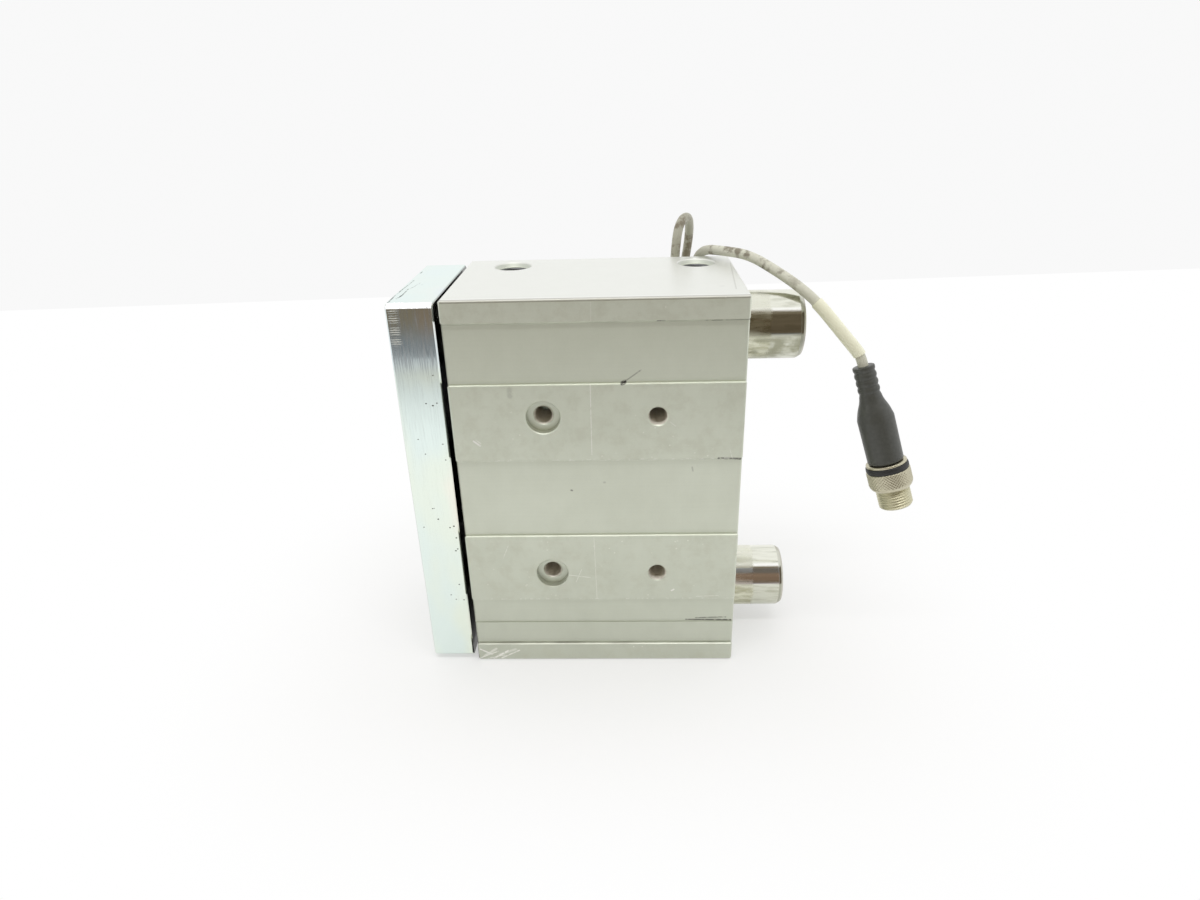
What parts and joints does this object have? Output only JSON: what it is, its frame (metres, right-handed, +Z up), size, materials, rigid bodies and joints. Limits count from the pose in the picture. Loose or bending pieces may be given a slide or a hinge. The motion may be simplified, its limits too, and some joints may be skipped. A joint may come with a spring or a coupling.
{
  "type": "guided pneumatic cylinder",
  "caption": "Guided pneumatic cylinder: block housing with a front plate sliding on guide rods, tapped air ports, a slot sensor and a short cable ending in a round screw plug.",
  "frame": {"origin": "on the floor, under the middle of the box of plate, housing and rods, without the cable", "axes": "+X along the stroke from the front plate to the rod tails, +Y from the face with the fixing holes to the face with the sensor slots, +Z up"},
  "size_m": [0.1836, 0.1001, 0.1617],
  "materials": {
    "anodised_aluminium": "satin anodised, light grey",
    "machined_aluminium": "turned, plain",
    "zinc_plated_steel": "zinc plated, worn and pitted",
    "chrome_steel": "ground and hard chromed, lightly greased",
    "bearing_bronze": "plain bearing bronze",
    "black_rubber": "black nitrile",
    "bumper_polyurethane": "amber polyurethane",
    "spring_steel": "phosphated",
    "screw_steel": "zinc plated",
    "plug_steel": "zinc plated",
    "bonded_magnet": "plastic bonded ferrite",
    "wear_plastic": "natural",
    "sensor_plastic": "black, moulded",
    "cable_jacket": "light grey, soiled",
    "marker_plastic": "pale yellow, blank",
    "plug_plastic": "dark grey, moulded",
    "insert_plastic": "black, moulded",
    "gold_contact": "gold plated",
    "nickel_brass": "nickel plated, knurled"
  },
  "bodies": {
    "cylinder": {"housing": "anodised_aluminium", "guide_bush_upper_front": "bearing_bronze", "guide_bush_upper_rear": "bearing_bronze", "guide_bush_lower_front": "bearing_bronze", "guide_bush_lower_rear": "bearing_bronze", "guide_wiper_upper_front": "black_rubber", "guide_wiper_upper_rear": "black_rubber", "guide_wiper_lower_front": "black_rubber", "guide_wiper_lower_rear": "black_rubber", "front_cover": "machined_aluminium", "rod_bush": "bearing_bronze", "rod_seal": "black_rubber", "rear_cover": "machined_aluminium", "front_cover_o_ring": "black_rubber", "rear_cover_o_ring": "black_rubber", "front_retaining_ring": "spring_steel", "rear_retaining_ring": "spring_steel", "front_bumper": "bumper_polyurethane", "rear_bumper": "bumper_polyurethane", "port_plug_front": "plug_steel", "port_plug_rear": "plug_steel", "proximity_sensor": "sensor_plastic", "sensor_clamp_screw": "screw_steel", "sensor_cable": "cable_jacket", "cable_marker": "marker_plastic", "plug_body": "plug_plastic", "plug_insert": "insert_plastic", "contact_pins": "gold_contact"},
    "carriage": {"front_plate": "zinc_plated_steel", "guide_rod_upper": "chrome_steel", "guide_rod_lower": "chrome_steel", "guide_rod_screw_upper": "screw_steel", "guide_rod_screw_lower": "screw_steel", "piston_rod": "chrome_steel", "piston_rod_screw": "screw_steel", "piston": "machined_aluminium", "piston_seal_front": "black_rubber", "piston_seal_rear": "black_rubber", "piston_magnet": "bonded_magnet", "piston_wear_ring": "wear_plastic", "piston_nut": "screw_steel"},
    "plug_nut": {"coupling_nut": "nickel_brass", "nut_band": "black_rubber"}
  },
  "joints": [
    {"name": "stroke_slide", "type": "slide", "parent": "cylinder", "child": "carriage", "axis": [-1, 0, 0], "range_m": [0, 0.05]},
    {"name": "coupling_nut_spin", "type": "hinge", "parent": "cylinder", "child": "plug_nut", "pos_m": [0.09132, -0.017, 0.11814], "axis": [0.2831, -0.186, -0.9409], "continuous": true}
  ]
}
